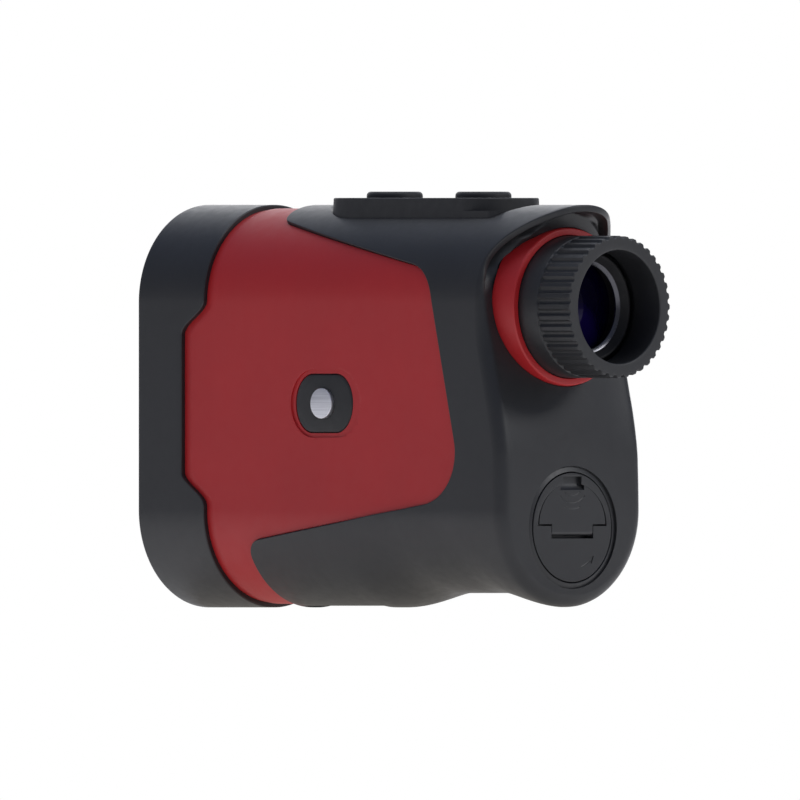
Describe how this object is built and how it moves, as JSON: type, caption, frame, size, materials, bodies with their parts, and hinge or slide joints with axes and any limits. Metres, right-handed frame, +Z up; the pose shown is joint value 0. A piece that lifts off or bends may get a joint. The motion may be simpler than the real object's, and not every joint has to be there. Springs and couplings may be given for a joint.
{
  "type": "laser rangefinder",
  "caption": "Handheld monocular laser rangefinder with a hooded objective end, knurled focusing eyepiece, top buttons, side magnet and a screw-in battery cap with a flip handle.",
  "frame": {"origin": "centre of the bounding box at the lowest point of the casing", "axes": "+Y from the eyepiece towards the objective, +Z up towards the keypad, +X to the user's right"},
  "size_m": [0.036, 0.1066, 0.0754],
  "materials": {
    "black_plastic": "satin black moulded plastic",
    "red_plastic": "soft-touch dark red plastic",
    "black_rubber": "matt black rubber",
    "steel": "finely brushed bright steel",
    "aluminium": "turned aluminium",
    "coated_glass": "coated optical glass",
    "circuit_board": "green solder mask",
    "grey_plastic": "dark grey moulded plastic",
    "battery_wrap": "plain printed sleeve with no text"
  },
  "bodies": {
    "casing": {"main_housing": "black_plastic", "front_hood": "black_plastic", "left_red_panel": "red_plastic", "right_red_panel": "red_plastic", "magnet_boss": "black_rubber", "magnet_disc": "steel", "front_bezel": "black_plastic", "bezel_screw_1": "steel", "bezel_screw_2": "steel", "keypad_pad": "black_rubber", "power_switch": "grey_plastic", "mode_switch": "grey_plastic", "keypad_board": "circuit_board", "eyepiece_trim_ring": "red_plastic", "eye_tube": "aluminium", "objective_barrel": "aluminium", "objective_lens": "coated_glass", "objective_retainer": "aluminium", "receiver_barrel": "aluminium", "receiver_lens": "coated_glass", "receiver_retainer": "aluminium", "optical_bench": "aluminium", "prism_holder": "grey_plastic", "erecting_prism": "coated_glass", "display_reticle": "coated_glass", "laser_diode": "aluminium", "laser_board": "circuit_board", "apd_sensor": "aluminium", "sensor_board": "circuit_board", "main_board": "circuit_board", "battery_tube": "grey_plastic", "battery_cell": "battery_wrap", "tube_contact": "steel"},
    "power_key": {"power_button": "black_rubber"},
    "mode_key": {"mode_button": "black_rubber"},
    "eye_carrier": {"eye_cell": "black_plastic", "eye_lens": "coated_glass"},
    "diopter": {"diopter_ring": "black_plastic"},
    "seal_carrier": {"cap_seal": "black_rubber"},
    "cap": {"battery_cap": "black_plastic", "cap_contact": "steel", "handle_pin": "steel"},
    "flip_handle": {"cap_handle": "black_plastic"}
  },
  "joints": [
    {"name": "power_press", "type": "slide", "parent": "casing", "child": "power_key", "axis": [0, 0, -1], "range_m": [0, 0.0006], "stiffness_N_per_m": 400, "springref_m": -0.0008},
    {"name": "mode_press", "type": "slide", "parent": "casing", "child": "mode_key", "axis": [0, 0, -1], "range_m": [0, 0.0006], "stiffness_N_per_m": 400, "springref_m": -0.0008},
    {"name": "diopter_travel", "type": "slide", "parent": "casing", "child": "eye_carrier", "axis": [0, -1, 0], "range_m": [-0.00126, 0.00126]},
    {"name": "diopter_turn", "type": "hinge", "parent": "eye_carrier", "child": "diopter", "pos_m": [0, 0, 0.0545], "axis": [0, -1, 0], "range_deg": [-150, 150]},
    {"name": "cap_travel", "type": "slide", "parent": "casing", "child": "seal_carrier", "axis": [0, -1, 0], "range_m": [0, 0.00301]},
    {"name": "cap_turn", "type": "hinge", "parent": "seal_carrier", "child": "cap", "pos_m": [0, 0, 0.0145], "axis": [0, -1, 0], "range_deg": [0, 720]},
    {"name": "handle_flip", "type": "hinge", "parent": "cap", "child": "flip_handle", "pos_m": [0, -0.0403, 0.0138], "axis": [1, 0, 0], "range_deg": [0, 95]}
  ],
  "couplings": [
    {"joint": "diopter_travel", "follows": "diopter_turn", "m_per_rad": 0.00047746},
    {"joint": "cap_travel", "follows": "cap_turn", "m_per_rad": 0.00023873}
  ]
}
